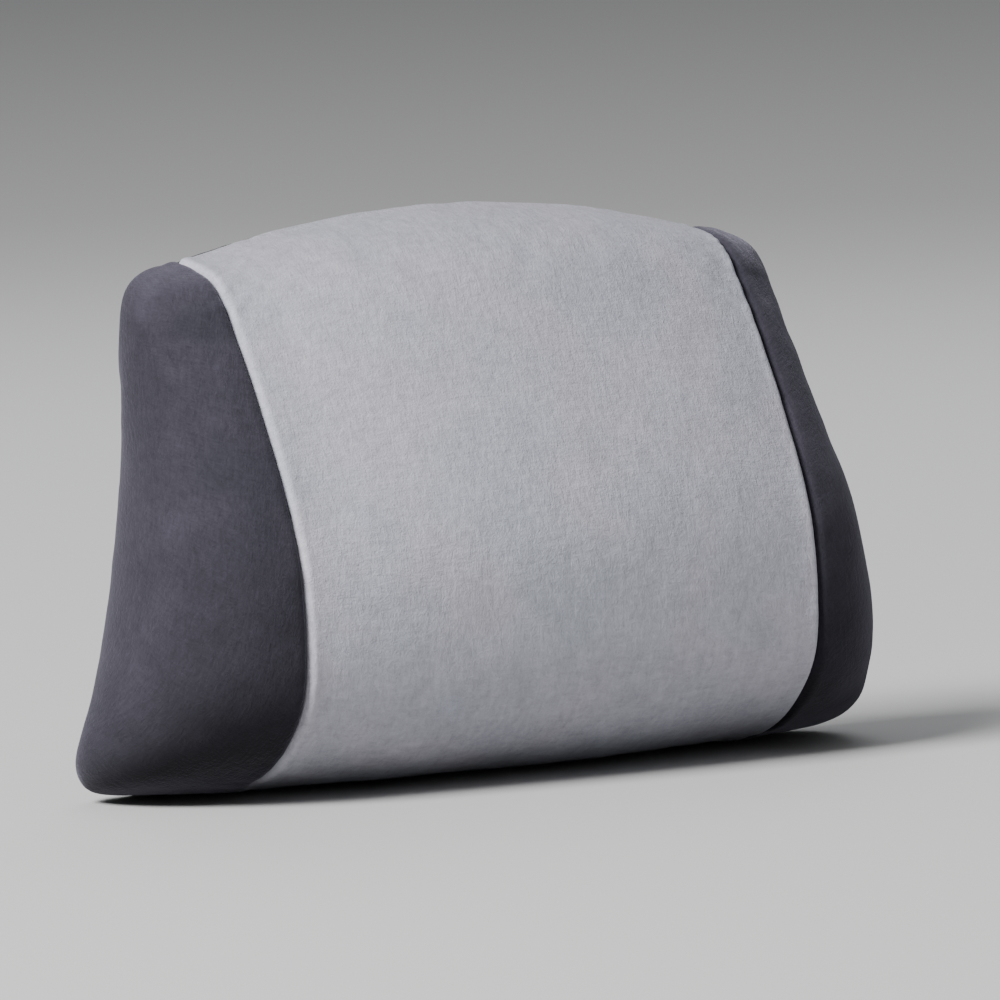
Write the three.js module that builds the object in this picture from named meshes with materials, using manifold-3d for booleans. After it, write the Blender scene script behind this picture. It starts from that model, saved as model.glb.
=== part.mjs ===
// Lumbar support cushion with a zipped cover and a buckled elastic strap.
// Millimetres, +Z up, the front faces -Y, the back panel's outer face lies on y = 0.
// The origin is on the back panel, on the middle of the strap's height.
import * as THREE from 'three';
import Module from 'manifold-3d';

const wasm = await Module();
wasm.setup();

// ---- driving dimensions ----
const SEAM_X = 117;            // half the width of the pale centre panel
const COVER = 1.6;             // cover fabric with its backing foam
const GAP = 0.3;               // air between neighbouring pieces
const BACK = COVER + GAP;      // depth where the front shell starts
// seam between the centre panel and a side panel, from the top rear corner over
// the front to the bottom rear corner: depth in front of the back, height, side bulge
const SEAM = [
  [0, 100, 0], [18, 98.6, 8], [31, 92.3, 13.5], [46, 72.5, 16], [60, 49.5, 18.5], [75, 21, 23], [86, -7, 29.5],
  [89.5, -35, 34], [87, -60, 37.5], [75, -78, 40.5], [56, -91, 42], [31, -98, 38], [12, -99.5, 25], [0, -100, 0],
];
// rear outline of a side panel: half width, height
const REAR = [
  [117, 100], [127, 98], [134.5, 92], [138, 80], [138.2, 50], [138.6, 15], [140.5, -20], [143.5, -50],
  [146, -80], [143.5, -92.5], [134, -98.8], [117, -100],
];
// how far the centre panel crowns past its seams, along the seam
const CROWN = [[0, 16], [0.1, 14.5], [0.25, 11], [0.5, 8.5], [0.7, 4], [0.82, -0.5], [0.92, -2.5], [1, -2]];

const WADDING = { x: 0.972, yz: 0.945 };   // outer size of the wadding against the cushion
const CAVITY = { x: 0.862, yz: 0.765 };    // room in the wadding for the foam
const CORE = { x: 0.856, yz: 0.753 };      // foam core
const SCALE_AT = { d: 42, z: -30 };        // the point those sizes shrink towards
const INNER_BACK = 5.2;                    // the wadding stays this far behind the back face
const SPLIT = 40;                          // depth where the two halves of the wadding meet

const ZIP_Z = -62;             // height of the zip
const ZIP_HALF = 104;          // half the length of the zip's teeth
const ZIP_SLOT = 3.6;          // half the slot between the two back panels
const TAPE_W = 12;
const TAPE_T = 0.8;
const COIL_IN = 0.6;           // half the gap between the two rows
const COIL_OUT = 2.5;
const COIL_LOW = -2.6;         // the rows' bottom and top, on y
const COIL_HIGH = -0.9;
const SLIDER_L = 10;
const SLIDER_X = 97;           // the slider's place when the zip is shut

const STRAP_W = 30;
const STRAP_T = 1.6;
const STRAP_Y = 8.4;           // inner face of the strap behind the back panel
const STRAP_END = 134;         // where the strap is sewn in
const BUCKLE_Y0 = 7.3;         // buckle, inner and outer faces
const BUCKLE_Y1 = 18.3;
const BUCKLE_HALF_Z = 19.5;

// ---- curves ----
const seamCurve = new THREE.CatmullRomCurve3(SEAM.map(([d, z, b]) => new THREE.Vector3(d, z, b)), false, 'centripetal');
const rearCurve = new THREE.CatmullRomCurve3(REAR.map(([x, z]) => new THREE.Vector3(x, z, 0)), false, 'centripetal');
seamCurve.arcLengthDivisions = 600;
rearCurve.arcLengthDivisions = 600;

function table(rows, u) {
  for (let i = 1; i < rows.length; i++) {
    if (u <= rows[i][0]) {
      const f = (u - rows[i - 1][0]) / (rows[i][0] - rows[i - 1][0]);
      const s = f * f * (3 - 2 * f);
      return rows[i - 1][1] + (rows[i][1] - rows[i - 1][1]) * (0.5 * s + 0.5 * f);
    }
  }
  return rows[rows.length - 1][1];
}

// a point as (x, depth, height)
function centrePoint(x, u) {
  const p = seamCurve.getPointAt(u);
  const a = seamCurve.getPointAt(Math.max(0, u - 0.004));
  const b = seamCurve.getPointAt(Math.min(1, u + 0.004));
  const t = new THREE.Vector2(b.x - a.x, b.y - a.y).normalize();
  const rise = table(CROWN, u) * (1 - (x / SEAM_X) ** 2);
  return new THREE.Vector3(x, Math.max(0, p.x - t.y * rise), p.y + t.x * rise);
}

function sidePoint(u, v) {
  const a = seamCurve.getPointAt(u);
  const b = rearCurve.getPointAt(u);
  const f = Math.PI * v;
  const g = (1 - Math.cos(f)) / 2;
  const h = Math.sin(f) * (1 + 0.18 * Math.cos(f));
  return new THREE.Vector3(SEAM_X + (b.x - SEAM_X) * g + a.z * h, a.x * (1 - g), a.y + (b.y - a.y) * g);
}

// (x, depth, height) to the part's frame, behind the back panel's thickness
const place = (p) => new THREE.Vector3(p.x, -(BACK + p.y * 0.98), p.z);

// ---- mesh helpers ----
const spread = (n, lo, hi) => Array.from({ length: n + 1 }, (_, i) => lo + (hi - lo) * i / n);

function geometryOf(triangles) {
  const g = new THREE.BufferGeometry();
  g.setAttribute('position', new THREE.Float32BufferAttribute(triangles.flat().flatMap((p) => [p.x, p.y, p.z]), 3));
  g.computeVertexNormals();
  return g;
}

// a closed sheet from a grid of outer points and their inner partners
function sheet(at, us, vs, thick, flip) {
  const e = 0.003;
  const outer = us.map((u) => vs.map((v) => place(at(u, v))));
  const inner = us.map((u, i) => vs.map((v, j) => {
    const span = (list, k) => [Math.max(list[0], list[k] - e * (list[list.length - 1] - list[0])),
      Math.min(list[list.length - 1], list[k] + e * (list[list.length - 1] - list[0]))];
    const [u0, u1] = span(us, i);
    const [v0, v1] = span(vs, j);
    const du = place(at(u1, v)).sub(place(at(u0, v)));
    const dv = place(at(u, v1)).sub(place(at(u, v0)));
    const n = du.cross(dv).normalize().multiplyScalar(flip ? -1 : 1);
    return outer[i][j].clone().addScaledVector(n, -thick);
  }));
  const t = [];
  const quad = (a, b, c, d) => (flip ? t.push([a, c, b], [a, d, c]) : t.push([a, b, c], [a, c, d]));
  const nu = us.length - 1;
  const nv = vs.length - 1;
  for (let i = 0; i < nu; i++) {
    for (let j = 0; j < nv; j++) {
      quad(outer[i][j], outer[i + 1][j], outer[i + 1][j + 1], outer[i][j + 1]);
      quad(inner[i][j], inner[i][j + 1], inner[i + 1][j + 1], inner[i + 1][j]);
    }
  }
  for (let i = 0; i < nu; i++) {
    quad(outer[i][0], inner[i][0], inner[i + 1][0], outer[i + 1][0]);
    quad(outer[i][nv], outer[i + 1][nv], inner[i + 1][nv], inner[i][nv]);
  }
  for (let j = 0; j < nv; j++) {
    quad(outer[0][j], outer[0][j + 1], inner[0][j + 1], inner[0][j]);
    quad(outer[nu][j], inner[nu][j], inner[nu][j + 1], outer[nu][j + 1]);
  }
  return geometryOf(t);
}

function toManifold(geometry) {
  const src = geometry.index ? geometry.toNonIndexed() : geometry;
  const pos = src.attributes.position;
  const seen = new Map();
  const verts = [];
  const tris = [];
  const id = [];
  for (let i = 0; i < pos.count; i++) {
    const p = [pos.getX(i), pos.getY(i), pos.getZ(i)];
    const key = p.map((c) => Math.round(c * 2000)).join(',');
    if (!seen.has(key)) {
      seen.set(key, verts.length / 3);
      verts.push(...p);
    }
    id.push(seen.get(key));
  }
  for (let i = 0; i < id.length; i += 3) {
    const [a, b, c] = id.slice(i, i + 3);
    if (a !== b && b !== c && a !== c) tris.push(a, b, c);
  }
  return new wasm.Manifold(new wasm.Mesh({
    numProp: 3, vertProperties: new Float32Array(verts), triVerts: new Uint32Array(tris),
  }));
}

function fromManifold(solid) {
  const m = solid.getMesh();
  const at = (i) => new THREE.Vector3(...m.vertProperties.slice(i * m.numProp, i * m.numProp + 3));
  const t = [];
  for (let i = 0; i < m.triVerts.length; i += 3) {
    t.push([at(m.triVerts[i]), at(m.triVerts[i + 1]), at(m.triVerts[i + 2])]);
  }
  return geometryOf(t);
}

const join = (list) => list.map(toManifold).reduce((a, b) => a.add(b));
function cutFrom(base, cuts) {
  return fromManifold(cuts.reduce((s, c) => s.subtract(toManifold(c)), base));
}

function box(x0, x1, y0, y1, z0, z1) {
  const g = new THREE.BoxGeometry(x1 - x0, y1 - y0, z1 - z0);
  g.translate((x0 + x1) / 2, (y0 + y1) / 2, (z0 + z1) / 2);
  return g;
}

// an outline in (x, z), thick along y
function slab(outline, y0, y1, bevel = 0, steps = 1) {
  const shape = new THREE.Shape(outline.map(([x, z]) => new THREE.Vector2(x, z)));
  const g = new THREE.ExtrudeGeometry(shape, {
    depth: y1 - y0 - 2 * bevel, bevelEnabled: bevel > 0, bevelThickness: bevel, bevelSize: bevel, bevelOffset: -bevel,
    bevelSegments: steps, curveSegments: 6,
  });
  g.rotateX(Math.PI / 2);
  g.translate(0, y1 - bevel, 0);
  return g;
}

function roundedRect(x0, x1, z0, z1, r, n = 4) {
  const out = [];
  for (const [cx, cz, a0] of [[x1 - r, z0 + r, -90], [x1 - r, z1 - r, 0], [x0 + r, z1 - r, 90], [x0 + r, z0 + r, 180]]) {
    for (let i = 0; i <= n; i++) {
      const a = (a0 + 90 * i / n) * Math.PI / 180;
      out.push([cx + r * Math.cos(a), cz + r * Math.sin(a)]);
    }
  }
  return out;
}

// a band that follows a line in (x, y), wide along z
function ribbon(line, thick, z0, z1) {
  const left = [];
  const right = [];
  line.forEach(([x, y], i) => {
    const a = line[Math.max(0, i - 1)];
    const b = line[Math.min(line.length - 1, i + 1)];
    const l = Math.hypot(b[0] - a[0], b[1] - a[1]);
    const n = [-(b[1] - a[1]) / l, (b[0] - a[0]) / l];
    left.push([x + n[0] * thick / 2, y + n[1] * thick / 2]);
    right.push([x - n[0] * thick / 2, y - n[1] * thick / 2]);
  });
  const shape = new THREE.Shape([...left, ...right.reverse()].map(([x, y]) => new THREE.Vector2(x, y)));
  const g = new THREE.ExtrudeGeometry(shape, { depth: z1 - z0, bevelEnabled: false });
  g.translate(0, 0, z0);
  return g;
}

// the whole cushion as one closed body, shrunk towards its middle
function bulk({ x: kx, yz: k }, nx, nu, nv) {
  const put = (p) => {
    const q = place(p);
    return new THREE.Vector3(q.x * kx, -SCALE_AT.d + (q.y + SCALE_AT.d) * k, SCALE_AT.z + (q.z - SCALE_AT.z) * k);
  };
  const t = [];
  const us = spread(nu, 0, 1);
  const patch = (at, n, flip) => {
    for (let i = 0; i < n; i++) {
      for (let j = 0; j < nu; j++) {
        const [a, b, c, d] = [at(i, us[j]), at(i + 1, us[j]), at(i + 1, us[j + 1]), at(i, us[j + 1])];
        if (flip) t.push([a, b, c], [a, c, d]);
        else t.push([a, c, b], [a, d, c]);
      }
    }
  };
  patch((i, u) => put(centrePoint(-SEAM_X + 2 * SEAM_X * i / nx, u)), nx, false);
  patch((i, u) => put(sidePoint(u, i / nv)), nv, false);
  patch((i, u) => { const p = put(sidePoint(u, i / nv)); p.x = -p.x; return p; }, nv, true);
  const rim = [];
  for (let i = 0; i <= nx; i++) rim.push(put(centrePoint(-SEAM_X + 2 * SEAM_X * i / nx, 0)));
  for (let j = 1; j <= nu; j++) rim.push(put(sidePoint(us[j], 1)));
  for (let i = nx - 1; i >= 0; i--) rim.push(put(centrePoint(-SEAM_X + 2 * SEAM_X * i / nx, 1)));
  for (let j = nu - 1; j >= 1; j--) { const p = put(sidePoint(us[j], 1)); p.x = -p.x; rim.push(p); }
  const mid = rim[0].clone();
  mid.x = 0;
  mid.z = 0;
  rim.forEach((p, i) => t.push([mid, p, rim[(i + 1) % rim.length]]));
  let solid = toManifold(geometryOf(t));
  if (solid.volume() < 0) solid = toManifold(geometryOf(t.map(([a, b, c]) => [a, c, b])));
  return solid;
}

// ---- materials ----
const cloth = (color) => new THREE.MeshStandardMaterial({ color, roughness: 0.95 });
const grey = cloth(0xaaabb3);
const charcoal = cloth(0x35353c);
const backing = cloth(0x242427);
const tapeStuff = cloth(0x1c1c1f);
const webbing = cloth(0x161617);
const white = cloth(0xe8e6e0);
const foam = cloth(0xd9cfa8);
const nylon = new THREE.MeshStandardMaterial({ color: 0x18181a, roughness: 0.45 });
const metal = new THREE.MeshStandardMaterial({ color: 0x4a4a4d, roughness: 0.35, metalness: 1 });

const part = new THREE.Group();
function add(name, geometry, material) {
  const m = new THREE.Mesh(geometry, material);
  m.name = name;
  part.add(m);
}

// ---- cover ----
const half = SEAM_X - GAP / 2;
add('cover_centre_panel', sheet((u, x) => centrePoint(x, u), spread(22, 0, 1), spread(12, -half, half), COVER, false), grey);
const rightSide = (u, v) => { const p = sidePoint(u, v); p.x += GAP / 2; return p; };
const leftSide = (u, v) => { const p = rightSide(u, v); p.x = -p.x; return p; };
add('cover_side_panel_right', sheet(rightSide, spread(20, 0.018, 0.982), spread(8, 0, 1), COVER, false), charcoal);
add('cover_side_panel_left', sheet(leftSide, spread(20, 0.018, 0.982), spread(8, 0, 1), COVER, true), charcoal);

// rear outline, anticlockwise seen from the front, starting at the bottom left
function rearOutline(n) {
  const right = spread(n, 0, 1).map((u) => { const p = rearCurve.getPointAt(u); return [p.x, p.y]; });
  const edge = (u, flip) => spread(10, -SEAM_X, SEAM_X).slice(1, -1).map((x) => { const p = centrePoint(x, u); return [flip * p.x, p.z]; });
  return [...edge(0, 1), ...right, ...edge(1, -1), ...right.map(([x, z]) => [-x, z]).reverse()];
}

function backPanel(outline, hole, y0, y1) {
  const ring = outline.map(([x, z]) => new THREE.Vector2(x, z));
  const clean = ring.filter((p, i) => p.distanceTo(ring[(i + 1) % ring.length]) > 0.02);
  if (THREE.ShapeUtils.isClockWise(clean)) clean.reverse();
  const rect = hole.map(([x, z]) => new THREE.Vector2(x, z));
  if (!THREE.ShapeUtils.isClockWise(rect)) rect.reverse();
  const all = [...clean, ...rect];
  const faces = [...THREE.ShapeUtils.triangulateShape(clean, [rect])];
  const n = clean.length;
  faces.push([n, n + 2, n + 1], [n, n + 3, n + 2]);
  const v = (i, y) => new THREE.Vector3(all[i].x, y, all[i].y);
  const t = [];
  for (const [a, b, c] of faces) {
    t.push([v(a, y1), v(c, y1), v(b, y1)], [v(a, y0), v(b, y0), v(c, y0)]);
  }
  for (let i = 0; i < n; i++) {
    const j = (i + 1) % n;
    t.push([v(i, y1), v(j, y1), v(j, y0)], [v(i, y1), v(j, y0), v(i, y0)]);
  }
  return geometryOf(t);
}

const outline = rearOutline(26);
function clip(points, keep, level) {
  const out = [];
  points.forEach((p, i) => {
    const q = points[(i + 1) % points.length];
    if (keep(p[1])) out.push(p);
    if (keep(p[1]) !== keep(q[1])) {
      const f = (level - p[1]) / (q[1] - p[1]);
      out.push([p[0] + (q[0] - p[0]) * f, level]);
    }
  });
  return out;
}
const upperEdge = ZIP_Z + ZIP_SLOT;
const lowerEdge = ZIP_Z - ZIP_SLOT;
// the flat middle of each panel is two large faces, so a plate can rest there
add('cover_back_panel_upper', backPanel(clip(outline, (z) => z >= upperEdge, upperEdge), [[-95, -45], [95, -45], [95, 88], [-95, 88]], -COVER, 0), backing);
add('cover_back_panel_lower', backPanel(clip(outline, (z) => z <= lowerEdge, lowerEdge), [[-90, -92], [90, -92], [90, -72], [-90, -72]], -COVER, 0), backing);

// ---- zip ----
const tapeY1 = -COVER - GAP;
add('zipper_tape_upper', box(-ZIP_HALF - 8, ZIP_HALF + 8, tapeY1 - TAPE_T, tapeY1, ZIP_Z + COIL_OUT + GAP, ZIP_Z + COIL_OUT + GAP + TAPE_W), tapeStuff);
add('zipper_tape_lower', box(-ZIP_HALF - 8, ZIP_HALF + 8, tapeY1 - TAPE_T, tapeY1, ZIP_Z - COIL_OUT - GAP - TAPE_W, ZIP_Z - COIL_OUT - GAP), tapeStuff);
function coil(side) {
  const z0 = ZIP_Z + side * COIL_IN;
  const z1 = ZIP_Z + side * COIL_OUT;
  const zm = (z0 + z1) / 2;
  const r = Math.abs(z1 - z0) / 2;
  const ym = (COIL_LOW + COIL_HIGH) / 2;
  const ry = (COIL_HIGH - COIL_LOW) / 2;
  const shape = new THREE.Shape();
  for (let i = 0; i < 8; i++) {
    const a = (22.5 + 45 * i) * Math.PI / 180;
    const p = [zm + r / Math.cos(Math.PI / 8) * Math.cos(a) * 0.98, ym + ry / Math.cos(Math.PI / 8) * Math.sin(a) * 0.98];
    if (i) shape.lineTo(...p); else shape.moveTo(...p);
  }
  const g = new THREE.ExtrudeGeometry(shape, { depth: 2 * ZIP_HALF, bevelEnabled: false });
  // shape x is height, shape y is y, depth runs along x
  const m = new THREE.Matrix4().set(0, 0, 1, -ZIP_HALF, 0, 1, 0, 0, 1, 0, 0, 0, 0, 0, 0, 1);
  g.applyMatrix4(m);
  if (m.determinant() < 0) {
    const p = g.toNonIndexed().attributes.position;
    const t = [];
    for (let i = 0; i < p.count; i += 3) {
      const v = [0, 2, 1].map((k) => new THREE.Vector3().fromBufferAttribute(p, i + k));
      t.push(v);
    }
    return geometryOf(t);
  }
  return g;
}
add('zipper_coil_upper', coil(1), nylon);
add('zipper_coil_lower', coil(-1), nylon);
for (const [name, s] of [['zipper_stop_right', 1], ['zipper_stop_left', -1]]) {
  const x0 = s * (ZIP_HALF + GAP);
  const x1 = s * (ZIP_HALF + GAP + 3);
  add(name, slab(roundedRect(Math.min(x0, x1), Math.max(x0, x1), ZIP_Z - 2.4, ZIP_Z + 2.4, 0.6, 2), COIL_LOW, -0.5), metal);
}
// slider: two plates joined by a thin post that runs between the rows
const topY = COIL_HIGH + GAP;
const lowY = COIL_LOW - GAP;
const sliderParts = [
  slab(roundedRect(SLIDER_X - SLIDER_L / 2, SLIDER_X + SLIDER_L / 2, ZIP_Z - 3.2, ZIP_Z + 3.2, 1.4, 3), topY, topY + 1.1),
  slab(roundedRect(SLIDER_X - SLIDER_L / 2, SLIDER_X + SLIDER_L / 2, ZIP_Z - 3.2, ZIP_Z + 3.2, 1.4, 3), lowY - 1.0, lowY),
  box(SLIDER_X - 3.2, SLIDER_X + 3.2, lowY - 0.5, topY + 0.5, ZIP_Z - 0.3, ZIP_Z + 0.3),
  // bail that carries the pull tab
  box(SLIDER_X - 3.6, SLIDER_X - 2.2, topY + 0.6, topY + 4.0, ZIP_Z - 0.9, ZIP_Z + 0.9),
  box(SLIDER_X + 2.2, SLIDER_X + 3.6, topY + 0.6, topY + 4.0, ZIP_Z - 0.9, ZIP_Z + 0.9),
  box(SLIDER_X - 3.6, SLIDER_X + 3.6, topY + 3.0, topY + 4.0, ZIP_Z - 0.9, ZIP_Z + 0.9),
];
add('zipper_slider', fromManifold(join(sliderParts)), metal);
// pull tab: lies flat along the zip, its eye goes round the bail
const tabY0 = topY + 1.5;
const tabY1 = topY + 2.6;
const tab = toManifold(slab(roundedRect(SLIDER_X - 30, SLIDER_X + 2.9 - 1.1, ZIP_Z - 3.6, ZIP_Z + 3.6, 2.2, 4), tabY0, tabY1));
add('zipper_pull_tab', cutFrom(tab, [
  slab(roundedRect(SLIDER_X - 7.6, SLIDER_X + 0.4, ZIP_Z - 1.6, ZIP_Z + 1.6, 1.2, 3), tabY0 - 1, tabY1 + 1),
]), metal);

// ---- filling ----
const backTrim = box(-200, 200, -INNER_BACK, 60, -200, 200);
const farBack = box(-200, 200, -SPLIT - GAP / 2, 60, -200, 200);
const farFront = box(-200, 200, -200, -SPLIT + GAP / 2, -200, 200);
const whole = bulk(WADDING, 10, 16, 5).subtract(toManifold(backTrim));
const cavity = bulk(CAVITY, 8, 14, 4);
const hollow = whole.subtract(cavity);
add('wadding_front', cutFrom(hollow, [farBack]), white);
add('wadding_back', cutFrom(hollow, [farFront]), white);
add('foam_core', fromManifold(bulk(CORE, 8, 14, 4)), foam);

// ---- strap and buckle ----
const yMid = STRAP_Y + STRAP_T / 2;
const zLow = -STRAP_W / 2;
const zHigh = STRAP_W / 2;
const BAR_L = -32.6;           // bar of the socket half, on x
const BAR_R = 20.4;            // bar of the plug half
const BAR_Y = 12.8;
const LOOP_R = 2.4;            // the strap's middle line round a bar
function strapLine(bar, s) {
  // sewn end, rise, run, round the bar and back over itself
  const sewn = GAP + STRAP_T / 2;
  const line = [[s * STRAP_END, sewn], [s * (STRAP_END - 9), sewn + 0.05]];
  for (let i = 1; i <= 5; i++) {
    const f = i / 5;
    line.push([s * (STRAP_END - 9 - 17 * f), sewn + (yMid - sewn) * (f * f * (3 - 2 * f))]);
  }
  line.push([bar + s * 15, yMid], [bar + s * 6, yMid + 0.4]);
  for (let i = 0; i <= 8; i++) {
    const a = -Math.PI / 2 - Math.PI * i / 8;
    line.push([bar + s * LOOP_R * Math.cos(a), BAR_Y + LOOP_R * Math.sin(a)]);
  }
  line.push([bar + s * 6, BAR_Y + 1.2], [bar + s * 12, yMid + STRAP_T + 0.6], [bar + s * 34, yMid + STRAP_T + 0.35]);
  return line;
}
add('strap_left', ribbon(strapLine(BAR_L, -1), STRAP_T, zLow, zHigh), webbing);
add('strap_right', ribbon(strapLine(BAR_R, 1), STRAP_T, zLow, zHigh), webbing);


const BAR_RADIUS = 1.3;
const SLOT_Z = STRAP_W / 2 + 0.4;
function bar(x) {
  const g = new THREE.CylinderGeometry(BAR_RADIUS, BAR_RADIUS, 2 * SLOT_Z + 1.2, 12);
  g.rotateX(Math.PI / 2);
  g.translate(x, BAR_Y, 0);
  return g;
}
const MOUTH = 2;               // open end of the socket half, on x
const CAVITY_X = -20;
const CAVITY_Z = 17.4;
const CAVITY_Y0 = 9.0;
const CAVITY_Y1 = 16.6;
const socket = toManifold(slab(roundedRect(-35.4, MOUTH, -BUCKLE_HALF_Z, BUCKLE_HALF_Z, 3.4, 5), BUCKLE_Y0, BUCKLE_Y1, 1.1, 2))
  .subtract(toManifold(box(CAVITY_X, MOUTH + 3, CAVITY_Y0, CAVITY_Y1, -CAVITY_Z, CAVITY_Z)))
  .subtract(toManifold(box(-40, BAR_L + LOOP_R + STRAP_T / 2 + 0.5, 0, 30, -SLOT_Z, SLOT_Z)))
  .subtract(toManifold(slab(roundedRect(-15.5, -4.5, 15, 22, 1.5, 2), 10.2, 15.4)))
  .subtract(toManifold(slab(roundedRect(-15.5, -4.5, -22, -15, 1.5, 2), 10.2, 15.4)))
  .subtract(toManifold(slab([[MOUTH + 1, -9], [MOUTH + 1, 9], [-3, 6.5], [-3, -6.5]], CAVITY_Y1 - 1, 30)));
add('buckle_socket', fromManifold(socket.add(toManifold(bar(BAR_L)))), nylon);
const PRONG_Y0 = 9.9;
const PRONG_Y1 = 15.7;
const base = MOUTH + 0.4;
const prong = (s) => slab([
  [base + 1, s * 10.2], [-5, s * 13.2], [-15.4, s * 13.6], [-16.2, s * 14.8], [-14.6, s * 16.9], [-5.2, s * 16.9], [-3.4, s * 15.9], [base + 1, s * 14.6],
], PRONG_Y0, PRONG_Y1);
const plug = join([
  slab(roundedRect(base, 22.4, -BUCKLE_HALF_Z, BUCKLE_HALF_Z, 3.0, 4), BUCKLE_Y0 + 0.9, BUCKLE_Y1 - 0.9, 0.9, 2),
]).subtract(toManifold(box(BAR_R - LOOP_R - STRAP_T / 2 - 0.5, 30, 0, 30, -SLOT_Z, SLOT_Z)))
  .add(toManifold(bar(BAR_R)))
  .add(toManifold(prong(1))).add(toManifold(prong(-1)))
  .add(toManifold(slab([[base + 1, -2.6], [base + 1, 2.6], [-12, 2.2], [-13, 1.2], [-13, -1.2], [-12, -2.2]], PRONG_Y0, PRONG_Y1)));
add('buckle_plug', fromManifold(plug), nylon);

export default part;
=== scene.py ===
import math

import bmesh
import bpy
import numpy as np
from mathutils import Matrix, Vector


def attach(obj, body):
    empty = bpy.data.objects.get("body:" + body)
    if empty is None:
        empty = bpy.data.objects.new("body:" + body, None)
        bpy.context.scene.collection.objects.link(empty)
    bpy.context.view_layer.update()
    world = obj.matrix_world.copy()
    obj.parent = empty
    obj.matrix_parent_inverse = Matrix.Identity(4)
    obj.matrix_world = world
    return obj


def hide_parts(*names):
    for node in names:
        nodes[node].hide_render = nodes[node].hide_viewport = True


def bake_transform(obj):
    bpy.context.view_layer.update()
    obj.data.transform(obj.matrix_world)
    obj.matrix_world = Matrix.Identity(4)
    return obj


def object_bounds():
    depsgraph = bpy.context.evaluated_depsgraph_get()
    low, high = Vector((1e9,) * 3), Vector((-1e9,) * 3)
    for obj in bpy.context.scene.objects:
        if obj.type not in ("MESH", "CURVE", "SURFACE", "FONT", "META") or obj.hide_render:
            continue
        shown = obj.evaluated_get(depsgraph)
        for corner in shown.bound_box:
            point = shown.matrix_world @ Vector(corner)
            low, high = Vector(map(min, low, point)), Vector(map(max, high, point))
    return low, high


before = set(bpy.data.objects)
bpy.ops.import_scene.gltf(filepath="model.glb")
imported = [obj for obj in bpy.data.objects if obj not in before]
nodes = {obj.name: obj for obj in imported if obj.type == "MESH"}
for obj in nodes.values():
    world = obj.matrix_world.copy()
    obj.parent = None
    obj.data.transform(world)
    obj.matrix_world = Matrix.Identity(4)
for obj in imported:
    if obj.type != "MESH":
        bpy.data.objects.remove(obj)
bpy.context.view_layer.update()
MM = 0.001

# ------------------------------------------------------------------ shape
SEAM_X = 117.0
BACK = 1.9
SEAM = np.array([
    [0, 100, 0], [18, 98.6, 8], [31, 92.3, 13.5], [46, 72.5, 16], [60, 49.5, 18.5], [75, 21, 23], [86, -7, 29.5],
    [89.5, -35, 34], [87, -60, 37.5], [75, -78, 40.5], [56, -91, 42], [31, -98, 38], [12, -99.5, 25], [0, -100, 0]], float)
REAR = np.array([
    [117, 100], [127, 98], [134.5, 92], [138, 80], [138.2, 50], [138.6, 15], [140.5, -20], [143.5, -50],
    [146, -80], [143.5, -92.5], [134, -98.8], [117, -100]], float)
CROWN = [(0, 16), (0.1, 14.5), (0.25, 11), (0.5, 8.5), (0.7, 4), (0.82, -0.5), (0.92, -2.5), (1, -2)]
ZIP_Z = -62.0


def curve(points):
    """Centripetal Catmull-Rom through the points, as (share of length, samples, length)."""
    p, out = np.asarray(points, float), []
    for i in range(len(p) - 1):
        p1, p2 = p[i], p[i + 1]
        p0 = p[i - 1] if i else 2 * p[0] - p[1]
        p3 = p[i + 2] if i + 2 < len(p) else 2 * p[-1] - p[-2]
        d = [max(((b - a) ** 2).sum() ** 0.25, 1e-4) for a, b in ((p0, p1), (p1, p2), (p2, p3))]
        m1 = ((p1 - p0) / d[0] - (p2 - p0) / (d[0] + d[1]) + (p2 - p1) / d[1]) * d[1]
        m2 = ((p2 - p1) / d[1] - (p3 - p1) / (d[1] + d[2]) + (p3 - p2) / d[2]) * d[1]
        t = np.linspace(0, 1, 160, endpoint=i == len(p) - 2)[:, None]
        out.append(p1 + m1 * t + (-3 * p1 + 3 * p2 - 2 * m1 - m2) * t * t + (2 * p1 - 2 * p2 + m1 + m2) * t ** 3)
    q = np.vstack(out)
    s = np.r_[0, np.cumsum(np.linalg.norm(np.diff(q, axis=0), axis=1))]
    return s / s[-1], q, s[-1]


def along(c, u):
    return np.stack([np.interp(u, c[0], c[1][:, k]) for k in range(c[1].shape[1])], -1)


seam_c, rear_c = curve(SEAM), curve(REAR)
SEAM_LEN = float(np.linalg.norm(np.diff(seam_c[1][:, :2], axis=0), axis=1).sum())
_cu = np.linspace(0, 1, 401)
_cr = np.interp(_cu, [a for a, _ in CROWN], [b for _, b in CROWN])
for _ in range(60):  # the crown eases from one value to the next
    _cr[1:-1] = 0.25 * _cr[:-2] + 0.5 * _cr[1:-1] + 0.25 * _cr[2:]


def centre(x, u):
    x, u = np.broadcast_arrays(np.asarray(x, float), np.asarray(u, float))
    p = along(seam_c, u)[..., :2]
    t = (along(seam_c, np.minimum(1, u + 0.004)) - along(seam_c, np.maximum(0, u - 0.004)))[..., :2]
    t = t / np.linalg.norm(t, axis=-1, keepdims=True)
    rise = np.interp(u, _cu, _cr) * (1 - (x / SEAM_X) ** 2)
    return np.stack([x, np.maximum(0, p[..., 0] - t[..., 1] * rise), p[..., 1] + t[..., 0] * rise], -1)


def side(u, v):
    u, v = np.broadcast_arrays(np.asarray(u, float), np.asarray(v, float))
    a, b = along(seam_c, u), along(rear_c, u)
    f = np.pi * v
    g, h = (1 - np.cos(f)) / 2, np.sin(f) * (1 + 0.18 * np.cos(f))
    return np.stack([SEAM_X + (b[..., 0] - SEAM_X) * g + a[..., 2] * h, a[..., 0] * (1 - g), a[..., 1] + (b[..., 1] - a[..., 1]) * g], -1)


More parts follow.
